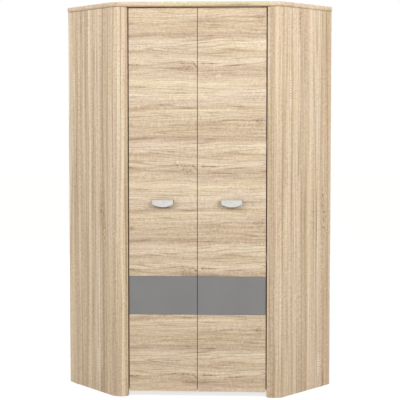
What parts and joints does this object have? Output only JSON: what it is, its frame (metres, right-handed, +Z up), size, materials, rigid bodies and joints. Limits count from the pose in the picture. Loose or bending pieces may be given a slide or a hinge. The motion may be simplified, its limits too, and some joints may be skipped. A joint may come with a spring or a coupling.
{
  "type": "corner wardrobe",
  "caption": "Corner wardrobe with a straight two-door front between rounded posts, sides at 45 degrees, a grey band across the doors, a hat shelf and a clothes rail.",
  "frame": {"origin": "centre of the bounding box in plan, on the floor", "axes": "+Z up, the doors face -Y, +X to the right as seen from the front, the rear corner points to +Y"},
  "size_m": [1.3802, 0.9632, 1.98],
  "materials": {
    "oak_board": "light sawn-oak laminate on particleboard",
    "grey_panel": "plain mid-grey laminate, satin",
    "handle_metal": "satin silver, die cast",
    "hinge_steel": "nickel-plated pressed steel",
    "rail_chrome": "bright chrome tube",
    "fibreboard": "thin hard fibreboard, pale printed face inside, bare brown outside",
    "white_plastic": "off-white moulded plastic"
  },
  "bodies": {
    "carcass": {"bottom_board": "oak_board", "clothes_rail": "rail_chrome", "hat_shelf": "oak_board", "left_back_joiner": "white_plastic", "left_front_back_panel": "fibreboard", "left_front_post": "oak_board", "left_hinge_arm_1": "hinge_steel", "left_hinge_arm_2": "hinge_steel", "left_hinge_arm_3": "hinge_steel", "left_hinge_arm_4": "hinge_steel", "left_hinge_plate_1": "hinge_steel", "left_hinge_plate_2": "hinge_steel", "left_hinge_plate_3": "hinge_steel", "left_hinge_plate_4": "hinge_steel", "left_hinge_stile": "oak_board", "left_post_glide": "white_plastic", "left_rail_bracket": "white_plastic", "left_rear_back_panel": "fibreboard", "left_rear_stile": "oak_board", "left_shelf_cleat": "oak_board", "left_side_glide": "white_plastic", "left_side_panel": "oak_board", "plinth_board": "oak_board", "rear_glide": "white_plastic", "rear_shelf_block": "oak_board", "right_back_joiner": "white_plastic", "right_front_back_panel": "fibreboard", "right_front_post": "oak_board", "right_hinge_arm_1": "hinge_steel", "right_hinge_arm_2": "hinge_steel", "right_hinge_arm_3": "hinge_steel", "right_hinge_arm_4": "hinge_steel", "right_hinge_plate_1": "hinge_steel", "right_hinge_plate_2": "hinge_steel", "right_hinge_plate_3": "hinge_steel", "right_hinge_plate_4": "hinge_steel", "right_hinge_stile": "oak_board", "right_post_glide": "white_plastic", "right_rail_bracket": "white_plastic", "right_rear_back_panel": "fibreboard", "right_rear_stile": "oak_board", "right_shelf_cleat": "oak_board", "right_side_glide": "white_plastic", "right_side_panel": "oak_board", "top_board": "oak_board", "wall_bracket": "hinge_steel"},
    "left_door": {"left_door_panel": "oak_board", "left_grey_band": "grey_panel", "left_handle": "handle_metal", "left_hinge_cup_1": "hinge_steel", "left_hinge_cup_2": "hinge_steel", "left_hinge_cup_3": "hinge_steel", "left_hinge_cup_4": "hinge_steel"},
    "right_door": {"right_door_panel": "oak_board", "right_grey_band": "grey_panel", "right_handle": "handle_metal", "right_hinge_cup_1": "hinge_steel", "right_hinge_cup_2": "hinge_steel", "right_hinge_cup_3": "hinge_steel", "right_hinge_cup_4": "hinge_steel"}
  },
  "joints": [
    {"name": "left_door_hinge", "type": "hinge", "parent": "carcass", "child": "left_door", "pos_m": [-0.32887, -0.45116, 0.98925], "axis": [0, 0, -1], "range_deg": [0, 95]},
    {"name": "right_door_hinge", "type": "hinge", "parent": "carcass", "child": "right_door", "pos_m": [0.32887, -0.45116, 0.98925], "axis": [0, 0, 1], "range_deg": [0, 95]}
  ]
}
